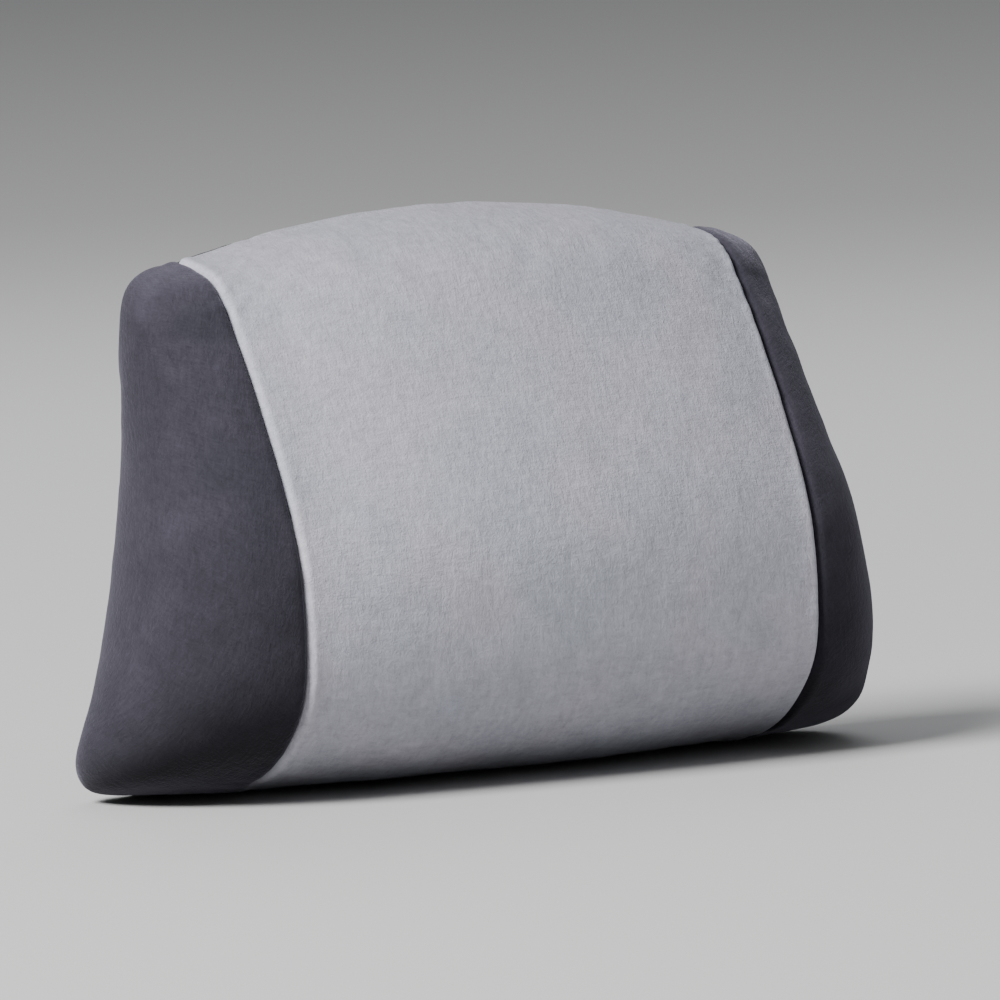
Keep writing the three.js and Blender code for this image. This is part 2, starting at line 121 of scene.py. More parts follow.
def place(p):
    """(x, depth, height) to the row frame, in millimetres."""
    return np.stack([p[..., 0], -(BACK + p[..., 1] * 0.98), p[..., 2]], -1)


def coons(xs, us):
    """The back panel, from its four edges: rows over us, columns over xs."""
    top, bot = centre(xs, 0.0)[:, [0, 2]], centre(xs, 1.0)[:, [0, 2]]
    right = along(rear_c, us)
    left = right * [-1, 1]
    a = ((xs + SEAM_X) / (2 * SEAM_X))[None, :, None]
    b = us[:, None, None]
    grid = (1 - b) * top[None] + b * bot[None] + (1 - a) * left[:, None] + a * right[:, None]
    grid -= (1 - a) * (1 - b) * top[0] + a * (1 - b) * top[-1] + (1 - a) * b * bot[0] + a * b * bot[-1]
    # the depth of the edge seams is BACK, and the panel itself lies on y = 0
    return np.stack([grid[..., 0], np.zeros(grid.shape[:2]), grid[..., 1]], -1)


# ------------------------------------------------------------------ grids
class Skin:
    """The whole cover as one welded mesh made of four structured patches."""

    def __init__(self, xs, us, vs):
        self.xs, self.us, self.vs = xs, us, vs
        c = place(centre(xs[None, :], us[:, None]))
        r = place(side(us[:, None], vs[None, :]))
        l = r * [-1, 1, 1]
        b = coons(xs, us)
        e = np.zeros(b.shape[:2])  # not used
        b[..., 1] = 0.0
        self.grids = {"centre": c, "right": r, "left": l, "back": b}
        # edges shared by position: the back panel's edges take the shell's
        b[0], b[-1], b[:, 0], b[:, -1] = c[0], c[-1], l[:, -1], r[:, -1]
        self.index, verts = {}, []
        seen = {}
        for name, g in self.grids.items():
            ids = np.zeros(g.shape[:2], int)
            for i in range(g.shape[0]):
                for j in range(g.shape[1]):
                    key = tuple(np.round(g[i, j], 3))
                    if key not in seen:
                        seen[key] = len(verts)
                        verts.append(g[i, j])
                    ids[i, j] = seen[key]
            self.index[name] = ids
        self.verts = np.array(verts)
        self.faces = {}
        flip = {"centre": False, "right": False, "left": True, "back": True}
        for name, ids in self.index.items():
            out = []
            for i in range(ids.shape[0] - 1):
                for j in range(ids.shape[1] - 1):
                    f = [ids[i, j], ids[i + 1, j], ids[i + 1, j + 1], ids[i, j + 1]]
                    f = [v for k, v in enumerate(f) if v != f[k - 1]]
                    if len(f) > 2:
                        out.append(f[::-1] if flip[name] else f)
            self.faces[name] = out

    def normals(self, verts):
        n = np.zeros_like(verts)
        for fs in self.faces.values():
            for k in (3, 4):
                f = np.array([x for x in fs if len(x) == k])
                if not len(f):
                    continue
                a = np.cross(verts[f[:, 2]] - verts[f[:, 0]], verts[f[:, -1]] - verts[f[:, 1]]) if k == 4 else np.cross(
                    verts[f[:, 1]] - verts[f[:, 0]], verts[f[:, 2]] - verts[f[:, 0]])
                for c in range(k):
                    np.add.at(n, f[:, c], a)
        return n / np.maximum(np.linalg.norm(n, axis=1, keepdims=True), 1e-12)


def fine(length, step, ends=(0.0, 0.35, 0.8, 1.4, 2.2, 3.3, 4.8, 6.8)):
    """0 to 1 over a length, closely spaced at both ends for the seams."""
    n = max(4, int(round((length - 2 * ends[-1]) / step)))
    mid = np.linspace(ends[-1], length - ends[-1], n + 1)
    e = np.array(ends[:-1])
    return np.r_[e, mid, (length - e)[::-1]] / length


def cubic(grid, src, dst, axis):
    """Smooth resampling of an evenly spaced grid along one axis."""
    g = np.moveaxis(grid, axis, 0)
    n = len(src)
    t = (np.asarray(dst) - src[0]) / (src[-1] - src[0]) * (n - 1)
    i = np.clip(t.astype(int), 0, n - 2)
    f = (t - i).reshape(-1, *[1] * (g.ndim - 1))
    p0, p1, p2, p3 = g[np.maximum(i - 1, 0)], g[i], g[i + 1], g[np.minimum(i + 2, n - 1)]
    out = p1 + 0.5 * f * (p2 - p0 + f * (2 * p0 - 5 * p1 + 4 * p2 - p3 + f * (3 * (p1 - p2) + p3 - p0)))
    return np.moveaxis(out, 0, axis)


def noise1(t, seed):
    """Smooth noise along a line, about -1 to 1, one bump per unit."""
    rng = np.random.default_rng(seed)
    a = rng.uniform(-1, 1, 4096)
    i = np.floor(t).astype(int)
    f = t - i
    f = f * f * (3 - 2 * f)
    return a[i % 4096] * (1 - f) + a[(i + 1) % 4096] * f


def noise3(p, seed):
    """Smooth value noise in space, about -1 to 1, one bump per unit."""
    i = np.floor(p).astype(np.int64)
    f = p - i
    f = f * f * (3 - 2 * f)

    def h(a, b, c):
        n = (a * 73856093) ^ (b * 19349663) ^ (c * 83492791) ^ (seed * 2654435761)
        n = (n ^ (n >> 13)) * 1274126177 & 0xFFFFFFFF
        return ((n ^ (n >> 16)) & 0xFFFF) / 32767.5 - 1

    out = 0
    for dx in (0, 1):
        for dy in (0, 1):
            for dz in (0, 1):
                w = (f[:, 0] if dx else 1 - f[:, 0]) * (f[:, 1] if dy else 1 - f[:, 1]) * (f[:, 2] if dz else 1 - f[:, 2])
                out = out + w * h(i[:, 0] + dx, i[:, 1] + dy, i[:, 2] + dz)
    return out


# ------------------------------------------------------------------ cloth
def blur(grid, n):
    """Repeated neighbour averaging over a grid, edges held."""
    g = grid.copy()
    for _ in range(n):
        g[1:-1] = 0.25 * g[:-2] + 0.5 * g[1:-1] + 0.25 * g[2:]
        g[:, 1:-1] = 0.25 * g[:, :-2] + 0.5 * g[:, 1:-1] + 0.25 * g[:, 2:]
    return g


def inflate(skin):
    """Blender's cloth with pressure on the welded skin. Returns how each vertex moved, in millimetres."""
    nrm = skin.normals(skin.verts)
    verts = skin.verts
    seam = np.array(sorted({*skin.index["centre"][:, 0], *skin.index["centre"][:, -1]}))
    rim = np.array(sorted({*skin.index["back"][0], *skin.index["back"][-1], *skin.index["back"][:, 0], *skin.index["back"][:, -1]}))
    ds = np.concatenate([np.min(np.linalg.norm(verts[a:a + 3000, None] - verts[seam][None], axis=2), axis=1) for a in range(0, len(verts), 3000)])
    dr = np.concatenate([np.min(np.linalg.norm(verts[a:a + 3000, None] - verts[rim][None], axis=2), axis=1) for a in range(0, len(verts), 3000)])
    back = np.isin(np.arange(len(verts)), skin.index["back"])
    start = verts + nrm * (noise3(verts / 9 + 2.2, 31) * 0.3 * np.clip(np.minimum(ds, dr) / 6, 0, 1) * ~back)[:, None]
    me = bpy.data.meshes.new("inflate")
    me.from_pydata((start * MM).tolist(), [], [f for fs in skin.faces.values() for f in fs])
    ob = bpy.data.objects.new("inflate", me)
    bpy.context.scene.collection.objects.link(ob)
    pin = np.maximum.reduce([np.where(dr < 0.1, 1.0, 0), np.where(ds < 0.1, 0.9, 0), np.where(back, 1.0, 0.0)])
    pin = np.maximum(pin, 0.02)
    # more cloth than seam beside each seam, which the seam gathers
    gather = np.exp(-((np.minimum(ds, dr) / 22) ** 2))
    for name, w in (("pin", pin), ("gather", gather)):
        vg = ob.vertex_groups.new(name=name)
        for i, x in enumerate(w):
            vg.add([i], float(x), "REPLACE")
    mod = ob.modifiers.new("cloth", "CLOTH")
    c = mod.settings
    c.quality, c.mass = 7, 0.25
    c.tension_stiffness = c.compression_stiffness = 40
    c.shear_stiffness, c.bending_stiffness = 12, 0.12
    c.tension_damping = c.compression_damping = c.shear_damping = 8
    c.bending_damping, c.air_damping = 0.5, 1.5
    c.vertex_group_mass, c.pin_stiffness = "pin", 1.0
    c.vertex_group_shrink, c.shrink_min, c.shrink_max = "gather", 0.0, -0.06
    c.use_pressure, c.uniform_pressure_force = True, 3.5
    c.effector_weights.gravity = 0
    mod.collision_settings.use_collision = False
    scene = bpy.context.scene
    scene.frame_start, scene.frame_end = 1, 26
    mod.point_cache.frame_start, mod.point_cache.frame_end = 1, 26
    for f in range(1, 27):
        scene.frame_set(f)
    ev = ob.evaluated_get(bpy.context.evaluated_depsgraph_get())
    out = np.zeros(len(verts) * 3)
    ev.data.vertices.foreach_get("co", out)
    d = out.reshape(-1, 3) / MM - verts
    bpy.data.objects.remove(ob)
    bpy.data.meshes.remove(me)
    scene.frame_set(1)
    return np.einsum("ij,ij->i", d, nrm)


coarse = Skin(np.linspace(-SEAM_X, SEAM_X, 57), np.linspace(0, 1, 85), np.linspace(0, 1, 19))
fold = inflate(coarse)
wrinkle = {}
for name in ("centre", "right", "left"):
    g = fold[coarse.index[name]]
    fine_part = g - blur(g, 14)
    wrinkle[name] = np.tanh(fine_part / 1.1) * 1.1

XS = (fine(2 * SEAM_X, 3.0) - 0.5) * 2 * SEAM_X
US = fine(SEAM_LEN, 2.8)
US = np.sort(np.r_[US[US * SEAM_LEN < 7], np.arange(7.9, 46, 1.05) / SEAM_LEN, US[US * SEAM_LEN > 46.5]])
VS = fine(118.0, 3.4)
skin = Skin(XS, US, VS)
axes = {"centre": (US, XS), "right": (US, VS), "left": (US, VS), "back": (US, XS)}
shape = skin.verts.copy()
folds = np.zeros(len(shape))
for name in ("centre", "right", "left"):
    src_v = coarse.xs if name == "centre" else coarse.vs
    d = cubic(cubic(wrinkle[name], coarse.us, axes[name][0], 0), src_v, axes[name][1], 1)
    folds[skin.index[name].ravel()] = d.ravel()

normal = skin.normals(shape)
shape = shape + normal * folds[:, None]
normal = skin.normals(shape)


def ids(name):
    return skin.index[name]


# distance to the seams, and the place along them
seam_ids = [ids("centre")[:, 0], ids("centre")[:, -1]]
rim_ids = np.r_[ids("back")[0], ids("back")[1:, -1], ids("back")[-1, ::-1][1:], ids("back")[::-1, 0][1:-1]]
n_all = len(shape)
d_seam = np.full(n_all, 1e3)
s_seam = np.zeros(n_all)
for k, line in enumerate(seam_ids):
    q = shape[line]
    s = np.r_[0, np.cumsum(np.linalg.norm(np.diff(q, axis=0), axis=1))] + 1000 * k
    for a in range(0, n_all, 4000):
        d = np.linalg.norm(shape[a:a + 4000, None] - q[None], axis=2)
        i = d.argmin(1)
        m = d[np.arange(len(i)), i]
        better = m < d_seam[a:a + 4000]
        d_seam[a:a + 4000][better] = m[better]
        s_seam[a:a + 4000][better] = s[i][better]
q = shape[rim_ids]
s = np.r_[0, np.cumsum(np.linalg.norm(np.diff(q, axis=0), axis=1))]
d_rim, s_rim, i_rim = np.zeros(n_all), np.zeros(n_all), np.zeros(n_all, int)
for a in range(0, n_all, 4000):
    d = np.linalg.norm(shape[a:a + 4000, None] - q[None], axis=2)
    i = d.argmin(1)
    d_rim[a:a + 4000], s_rim[a:a + 4000], i_rim[a:a + 4000] = d[np.arange(len(i)), i], s[i], i
# columns and rows give the distance exactly where the nearest sample would be coarse
for name in ("centre",):
    g = ids(name)
    d_seam[g.ravel()] = np.repeat((SEAM_X - np.abs(XS))[None], len(US), 0).ravel()

is_dark = np.zeros(n_all, bool)
for name in ("right", "left"):
    is_dark[ids(name).ravel()] = True
is_back = np.zeros(n_all, bool)
is_back[ids("back")[1:-1, 1:-1].ravel()] = True


def valley(s, deep, wide):
    return -deep * np.exp(-((s / wide) ** 1.3))


def lip(s, high, at, wide):
    return high * np.exp(-(((s - at) / wide) ** 2))


h = np.zeros(n_all)
front = ~is_back
h[front] += valley(d_seam[front], 2.1, 1.05)
uneven = 0.72 + 0.38 * noise1(s_seam / 21, 15) + 0.22 * noise1(s_seam / 7.5, 16)
h[front] += (np.where(is_dark, lip(d_seam, 0.35, 3.8, 2.4), (lip(d_seam, 0.62, 2.5, 1.5) + lip(d_seam, 0.25, 5.0, 3.0)) * uneven))[front]
# here and there the seam allowance shows as a soft crease beside the seam
h[front] -= (np.where(is_dark, 0.2, 0.38) * lip(d_seam, 1, 7.5, 1.7) * np.clip(noise1(s_seam / 30, 17) + 0.15, 0, 1))[front]
h += valley(d_rim, 1.5, 1.2) + np.where(is_back, 0.2 * lip(d_rim, 1, 3.6, 2.4), 0.8 * lip(d_rim, 1, 4.2, 3.0))
rim_t = np.roll(q, -1, axis=0) - np.roll(q, 1, axis=0)
rim_out = np.stack([-rim_t[:, 2], 0 * rim_t[:, 0], rim_t[:, 0]], -1)
rim_out /= np.linalg.norm(rim_out, axis=1, keepdims=True)
rim_out *= np.sign((rim_out * (q - q.mean(0))).sum(1))[:, None]
# puckers: short folds that run away from each seam
tight = 0.5 + 0.9 * np.exp(-(((s_seam % 1000) - 30) / 22) ** 2) + 0.7 * np.exp(-(((s_seam % 1000) - 262) / 30) ** 2)
reach = np.where(is_dark, 11.0, 8.0)
ease = 1 - np.exp(-((d_seam / 1.2) ** 2))
p1 = noise1(s_seam / 4.6, 5) * 0.6 + noise1(s_seam / 9.5 + 40, 6)
h[front] += (np.where(is_dark, 0.48, 0.25) * tight * p1 * np.exp(-d_seam / reach) * ease)[front]
ease = 1 - np.exp(-((d_rim / 1.2) ** 2))
p2 = noise1(s_rim / 5.2, 7) * 0.6 + noise1(s_rim / 11 + 90, 8)
foot = np.exp(-np.hypot(np.abs(shape[:, 0]) - 142, shape[:, 2] + 84) / 24)
h += np.where(is_back, 0.2, 0.36) * (1 + 1.3 * foot) * p2 * np.exp(-d_rim / 12) * ease
# the filling is pushed well into the foot corners of the side panels
h += 2.4 * np.exp(-(((np.abs(shape[:, 0]) - 166) / 16) ** 2) - (((shape[:, 2] + 88) / 13) ** 2)) * ~is_back
# a few slanted wrinkles at the front panel's upper corners
for sx, seed in ((1, 0.0), (-1, 2.1)):
    dx = (SEAM_X - sx * shape[:, 0])
    run = (s_seam % 1000)
    near = ~is_dark * ~is_back * (d_seam < 60) * (1 - np.exp(-((dx / 2.2) ** 2)))
    h += 0.34 * near * np.exp(-(((run - 27) / 9) ** 2)) * np.exp(-((dx / 9) ** 2)) * np.sin(2 * np.pi * (run + 0.45 * dx) / 4.4 + seed)
    h += 0.38 * near * np.exp(-(((run - 52) / 24) ** 2)) * np.exp(-((dx / 20) ** 2)) * np.sin(2 * np.pi * (run + 0.75 * dx) / 11.5 + seed)
# its own weight lets the middle of the underside down onto the floor
under = np.clip((-shape[:, 2] - 70) / 28, 0, 1)
h += 2.6 * under * under * (3 - 2 * under) * np.clip(1 - (shape[:, 0] / SEAM_X) ** 2, 0, 1) * ~is_back * ~is_dark * np.clip(-normal[:, 2] * 1.4 - 0.2, 0, 1)
# soft unevenness of the filling under the cloth
lump = noise3(shape / 46 + 3.3, 11) * 0.75 + noise3(shape / 21 + 7.7, 12) * 0.22
h += lump * np.where(is_back, 0.0, 1.0) * np.clip(np.minimum(d_seam, d_rim) / 18, 0, 1)
normal[is_back] = [0, 1, 0]
shape = shape + normal * h[:, None]
# the back panel: flat on y = 0 with shallow, soft waves, and quite flat at the zip
g = ids("back")[1:-1, 1:-1].ravel()
b = shape[g]
edge = np.clip(d_rim[g] / 9, 0, 1)
edge = edge * edge * (3 - 2 * edge)
near_zip = np.exp(-((np.abs(b[:, 2] - ZIP_Z) / 16) ** 2))
soft = (noise3(b / 52 + 1.1, 21) * 0.5 + noise3(b / 19 + 5.1, 22) * 0.16) * (1 - near_zip)
rise = 0.9 * (1 - near_zip) * np.clip(1 - (b[:, 0] / 135) ** 2, 0, 1)
b -= rim_out[i_rim[g]] * (1.25 * np.exp(-((d_rim[g] / 3.5) ** 2)))[:, None]
b[:, 1] = -BACK * (1 - edge) + edge * (rise + soft - 0.15) + h[g] * (1 - near_zip * edge)
shape[g] = b
print("skin verts", n_all)

# the underside rests flat
low = shape[:, 2] < -99.0
shape[low, 2] = -99.0 - 1.0 * np.tanh((-99.0 - shape[low, 2]) / 1.0)

# ------------------------------------------------------------------ nodes and materials
def mat_new(name):
    m = bpy.data.materials.new(name)
    m.use_nodes = True
    nt = m.node_tree
    bsdf = nt.nodes["Principled BSDF"]
    return m, nt, bsdf


def nd(nt, kind, **props):
    n = nt.nodes.new(kind)
    for k, v in props.items():
        if k.startswith("i_"):
            n.inputs[k[2:].replace("_", " ")].default_value = v
        else:
            setattr(n, k, v)
    return n


def ramp(nt, fac, stops):
    r = nt.nodes.new("ShaderNodeValToRGB")
    r.color_ramp.interpolation = "EASE"
    while len(r.color_ramp.elements) > len(stops):
        r.color_ramp.elements.remove(r.color_ramp.elements[-1])
    while len(r.color_ramp.elements) < len(stops):
        r.color_ramp.elements.new(0.5)
    for el, (pos, col) in zip(r.color_ramp.elements, stops):
        el.position = pos
        el.color = (*col, 1)
    nt.links.new(fac, r.inputs[0])
    return r.outputs["Color"]


def mapped(nt, source, scale, rot=(0, 0, 0)):
    m = nt.nodes.new("ShaderNodeMapping")
    m.inputs["Scale"].default_value = scale
    m.inputs["Rotation"].default_value = rot
    nt.links.new(source, m.inputs["Vector"])
    return m.outputs["Vector"]


def noise(nt, vec, scale, detail=2.0, rough=0.5, dist=0.0):
    n = nt.nodes.new("ShaderNodeTexNoise")
    n.inputs["Scale"].default_value = scale
    n.inputs["Detail"].default_value = detail
    n.inputs["Roughness"].default_value = rough
    n.inputs["Distortion"].default_value = dist
    nt.links.new(vec, n.inputs["Vector"])
    return n.outputs["Fac"]


def mix(nt, fac, a, b, mode="MIX"):
    m = nt.nodes.new("ShaderNodeMix")
    m.data_type = "RGBA"
    m.blend_type = mode
    for k, v in ((0, fac), (6, a), (7, b)):
        if hasattr(v, "is_linked"):
            nt.links.new(v, m.inputs[k])
        elif k == 0:
            m.inputs[0].default_value = v
        else:
            m.inputs[k].default_value = (*v, 1)
    return m.outputs[2]


def maths(nt, op, a, b=None, c=None):
    m = nt.nodes.new("ShaderNodeMath")
    m.operation = op
    for k, v in enumerate((a, b, c)):
        if v is None:
            continue
        if hasattr(v, "is_linked"):
            nt.links.new(v, m.inputs[k])
        else:
            m.inputs[k].default_value = v
    return m.outputs[0]


def bump(nt, bsdf, height, strength, distance):
    b = nt.nodes.new("ShaderNodeBump")
    b.inputs["Strength"].default_value = strength
    b.inputs["Distance"].default_value = distance
    nt.links.new(height, b.inputs["Height"])
    nt.links.new(b.outputs[0], bsdf.inputs["Normal"])


def suede(name, tones, streak, contrast, sheen, sheen_tint, rough, top_light_paint, turn=0.0, top_foot_shade_paint=0.0):
    """Short-napped suede cloth: soft blotches where the nap turns, a heathered grain, and a fine bump."""
    m, nt, bsdf = mat_new(name)
    tc = nt.nodes.new("ShaderNodeTexCoord")
    co, uv = tc.outputs["Object"], tc.outputs["UV"]
    if turn:
        uv = mapped(nt, uv, (1, 1, 1), (0, 0, turn))
    drift = noise(nt, co, 21, 2.0, 0.5, 0.3)
    blotch = noise(nt, mapped(nt, uv, (95, 62, 1)), 1.0, 3.0, 0.62, 0.9)
    streaks = noise(nt, mapped(nt, uv, (streak[0], streak[1], 1)), 1.0, 3.0, 0.65, 0.5)
    cross = noise(nt, mapped(nt, uv, (streak[1] * 0.85, streak[0] * 1.1, 1)), 1.0, 2.0, 0.6, 0.3)
    heather = noise(nt, mapped(nt, uv, (1250, 1250, 1)), 1.0, 2.0, 0.7)
    base = ramp(nt, drift, [(0.34, tones[0]), (0.5, tones[1]), (0.66, tones[2])])
    v = maths(nt, "MULTIPLY_ADD", maths(nt, "SUBTRACT", blotch, 0.5), contrast[0], 1.0)
    v = maths(nt, "MULTIPLY_ADD", maths(nt, "SUBTRACT", streaks, 0.5), contrast[1], v)
    v = maths(nt, "MULTIPLY_ADD", maths(nt, "SUBTRACT", cross, 0.5), contrast[2], v)
    v = maths(nt, "MULTIPLY_ADD", maths(nt, "SUBTRACT", heather, 0.5), contrast[3], v)
    # painted light and shade by facing: cloth that faces up is painted lighter and cloth that faces down darker, and a
    # second term paints shade over the top and the foot, where the surface faces straight up or down
    up = nt.nodes.new("ShaderNodeSeparateXYZ")
    nt.links.new(nt.nodes.new("ShaderNodeNewGeometry").outputs["Normal"], up.inputs[0])
    painted_light_factor = maths(nt, "MULTIPLY_ADD", up.outputs[2], top_light_paint, 1.0 - top_light_paint * 0.35)
    if top_foot_shade_paint:
        painted_light_factor = maths(nt, "SUBTRACT", painted_light_factor, maths(nt, "MULTIPLY", maths(nt, "MULTIPLY", up.outputs[2], up.outputs[2]), top_foot_shade_paint))
    v = maths(nt, "MULTIPLY", v, painted_light_factor)
    val = nt.nodes.new("ShaderNodeCombineColor")
    for k in range(3):
        nt.links.new(v, val.inputs[k])
    col = mix(nt, 1.0, base, val.outputs[0], "MULTIPLY")
    nt.links.new(col, bsdf.inputs["Base Color"])
    nt.links.new(maths(nt, "MULTIPLY_ADD", blotch, 0.16, rough - 0.08), bsdf.inputs["Roughness"])
    bsdf.inputs["Sheen Weight"].default_value = sheen
    bsdf.inputs["Sheen Roughness"].default_value = 0.42
    bsdf.inputs["Sheen Tint"].default_value = (*sheen_tint, 1)
    bsdf.inputs["Specular IOR Level"].default_value = 0.15
    height = maths(nt, "ADD", maths(nt, "MULTIPLY", streaks, 0.8), maths(nt, "ADD", maths(nt, "MULTIPLY", cross, 0.5), maths(nt, "MULTIPLY", heather, 0.55)))
    bump(nt, bsdf, height, 0.75, 0.0006)
    return m


# the figure after roughness paints light on upward faces and shade on downward ones; the grey's last figure paints
# shade over the top and the foot
grey = suede("grey_suede", [(0.417, 0.432, 0.492), (0.448, 0.448, 0.509), (0.472, 0.459, 0.520)], (430, 190),
             (0.30, 0.46, 0.32, 0.36), 0.08, (0.78, 0.82, 0.94), 0.92, 0.02, top_foot_shade_paint=0.42)
charcoal = suede("charcoal_suede", [(0.0275, 0.0264, 0.0362), (0.033, 0.0308, 0.0418), (0.0405, 0.0374, 0.0505)], (620, 210),
                 (0.45, 0.75, 0.40, 0.6), 0.36, (0.50, 0.48, 0.60), 0.9, 0.80, 0.35)


def woven(name, dark, light, pitch, sheen=0.1, rough=0.85, depth=0.00025):
    """Plain weave in the pattern's own coordinates, in metres."""
    m, nt, bsdf = mat_new(name)
    uv = nt.nodes.new("ShaderNodeTexCoord").outputs["UV"]
    co = nt.nodes.new("ShaderNodeTexCoord").outputs["Object"]
    sep = nt.nodes.new("ShaderNodeSeparateXYZ")
    nt.links.new(uv, sep.inputs[0])
    k = 2 * math.pi / pitch

    def wave(axis, scale, phase=0.0):
        return maths(nt, "SINE", maths(nt, "MULTIPLY_ADD", sep.outputs[axis], k * scale, phase))

    warp, weft = wave(0, 1), wave(1, 1)
    over = maths(nt, "MULTIPLY", wave(0, 0.5, math.pi / 4), wave(1, 0.5, math.pi / 4))
    pick = maths(nt, "GREATER_THAN", over, 0.0)
    hgt = maths(nt, "ADD", maths(nt, "MULTIPLY", maths(nt, "ABSOLUTE", warp), pick),
                maths(nt, "MULTIPLY", maths(nt, "ABSOLUTE", weft), maths(nt, "SUBTRACT", 1.0, pick)))
    fuzz = noise(nt, co, 900, 2.0, 0.6)
    large = noise(nt, co, 40, 2.0, 0.5)
    f = maths(nt, "MULTIPLY_ADD", hgt, 0.55, maths(nt, "MULTIPLY", maths(nt, "ADD", fuzz, large), 0.28))
    nt.links.new(ramp(nt, f, [(0.15, dark), (0.95, light)]), bsdf.inputs["Base Color"])
    nt.links.new(maths(nt, "MULTIPLY_ADD", fuzz, 0.16, rough - 0.08), bsdf.inputs["Roughness"])
    bsdf.inputs["Sheen Weight"].default_value = sheen
    bsdf.inputs["Sheen Roughness"].default_value = 0.5
    bsdf.inputs["Specular IOR Level"].default_value = 0.25
    bump(nt, bsdf, maths(nt, "MULTIPLY_ADD", fuzz, 0.35, hgt), 0.8, depth)
    return m


backing = woven("back_cloth", (0.012, 0.012, 0.014), (0.052, 0.052, 0.060), 0.0018, 0.22)
tape_mat = woven("zip_tape_cloth", (0.007, 0.007, 0.008), (0.024, 0.024, 0.027), 0.0011, 0.1, 0.82, 0.00015)


def moulded(name, color, rough, grain=0.25, metal=0.0, spec=0.5):
    m, nt, bsdf = mat_new(name)
    co = nt.nodes.new("ShaderNodeTexCoord").outputs["Object"]
    spark = noise(nt, co, 1400, 3.0, 0.6)
    smear = noise(nt, co, 60, 3.0, 0.6, 0.4)
    nt.links.new(ramp(nt, smear, [(0.3, tuple(c * 0.85 for c in color)), (0.7, tuple(min(1, c * 1.2) for c in color))]), bsdf.inputs["Base Color"])
    nt.links.new(maths(nt, "MULTIPLY_ADD", smear, 0.16, rough - 0.08), bsdf.inputs["Roughness"])
    bsdf.inputs["Metallic"].default_value = metal
    bsdf.inputs["Specular IOR Level"].default_value = spec
    bump(nt, bsdf, maths(nt, "MULTIPLY_ADD", smear, 0.2, spark), grain, 0.00008)
    return m


nylon = moulded("buckle_nylon", (0.013, 0.013, 0.015), 0.36, 0.5)
coil_nylon = moulded("coil_nylon", (0.014, 0.014, 0.016), 0.38, 0.15)
gun = moulded("zip_plating", (0.11, 0.11, 0.12), 0.32, 0.25, 1.0)


def filler(name, a, b, scale, rough=0.95):
    m, nt, bsdf = mat_new(name)
    co = nt.nodes.new("ShaderNodeTexCoord").outputs["Object"]
    v = nt.nodes.new("ShaderNodeTexVoronoi")
    v.inputs["Scale"].default_value = scale
    nt.links.new(co, v.inputs["Vector"])
    fib = noise(nt, co, scale * 0.3, 5.0, 0.7, 0.8)
    nt.links.new(ramp(nt, fib, [(0.25, a), (0.75, b)]), bsdf.inputs["Base Color"])
    bsdf.inputs["Roughness"].default_value = rough
    bump(nt, bsdf, maths(nt, "ADD", v.outputs["Distance"], fib), 0.7, 0.0008)
    return m


foam_mat = filler("foam_cells", (0.62, 0.54, 0.34), (0.76, 0.69, 0.48), 700)
wad_mat = filler("wadding_fibre", (0.72, 0.71, 0.68), (0.86, 0.85, 0.83), 260)

# ------------------------------------------------------------------ cover panels
def make_object(name, verts, faces, mat, uvs=None, smooth=True):
    me = bpy.data.meshes.new(name)
    me.from_pydata([tuple(v) for v in verts], [], [tuple(f) for f in faces])
    me.update()
    if smooth:
        me.polygons.foreach_set("use_smooth", [True] * len(me.polygons))
    if uvs is not None:
        layer = me.uv_layers.new(name="pattern")
        loops = np.zeros(len(me.loops), int)
        me.loops.foreach_get("vertex_index", loops)
        layer.data.foreach_set("uv", np.asarray(uvs, np.float32)[loops].ravel())
    me.materials.append(mat)
    ob = bpy.data.objects.new(name, me)
    bpy.context.scene.collection.objects.link(ob)
    return ob


def flat_uv(name):
    """Pattern coordinates of a patch, in metres: lengths along its rows and columns."""
    g = shape[ids(name)]
    du = np.r_[0, np.cumsum(np.linalg.norm(np.diff(g, axis=0), axis=2).mean(1))]
    dv = np.c_[np.zeros(len(g)), np.cumsum(np.linalg.norm(np.diff(g, axis=1), axis=2), axis=1)]
    dv = dv - dv.mean(1, keepdims=True) if name in ("centre", "back") else dv
    u = np.repeat(du[:, None], g.shape[1], 1)
    return np.stack([dv, u], -1) * MM


def panel(name, patch, mat, thick=1.3):
    """A patch as a piece of its own."""
    used = np.unique(ids(patch))
    new = {int(v): k for k, v in enumerate(used)}
    uv_grid = flat_uv(patch)
    uv = np.zeros((len(used), 2))
    uv[[new[int(v)] for v in ids(patch).ravel()]] = uv_grid.reshape(-1, 2)
    if patch == "back":
        uv = np.stack([shape[used][:, 0], shape[used][:, 2]], -1) * MM
    faces = [[new[int(v)] for v in f] for f in skin.faces[patch]]
    return make_object(name, shape[used] * MM, faces, mat, uv)


def thicken(ob, thick):
    m = ob.modifiers.new("cloth thickness", "SOLIDIFY")
    m.thickness, m.offset, m.use_even_offset, m.use_rim = thick * MM, -1.0, False, True
    return ob


def apply_modifiers(ob):
    bpy.context.view_layer.update()
    dg = bpy.context.evaluated_depsgraph_get()
    me = bpy.data.meshes.new_from_object(ob.evaluated_get(dg))
    old = ob.data
    ob.modifiers.clear()
    ob.data = me
    bpy.data.meshes.remove(old)
    return ob


front_panel = thicken(panel("cushion_centre_panel", "centre", grey), 1.0)
right_panel = thicken(panel("cushion_side_panel_right", "right", charcoal), 1.0)
left_panel = thicken(panel("cushion_side_panel_left", "left", charcoal), 1.0)

ZIP_SLOT = 3.6


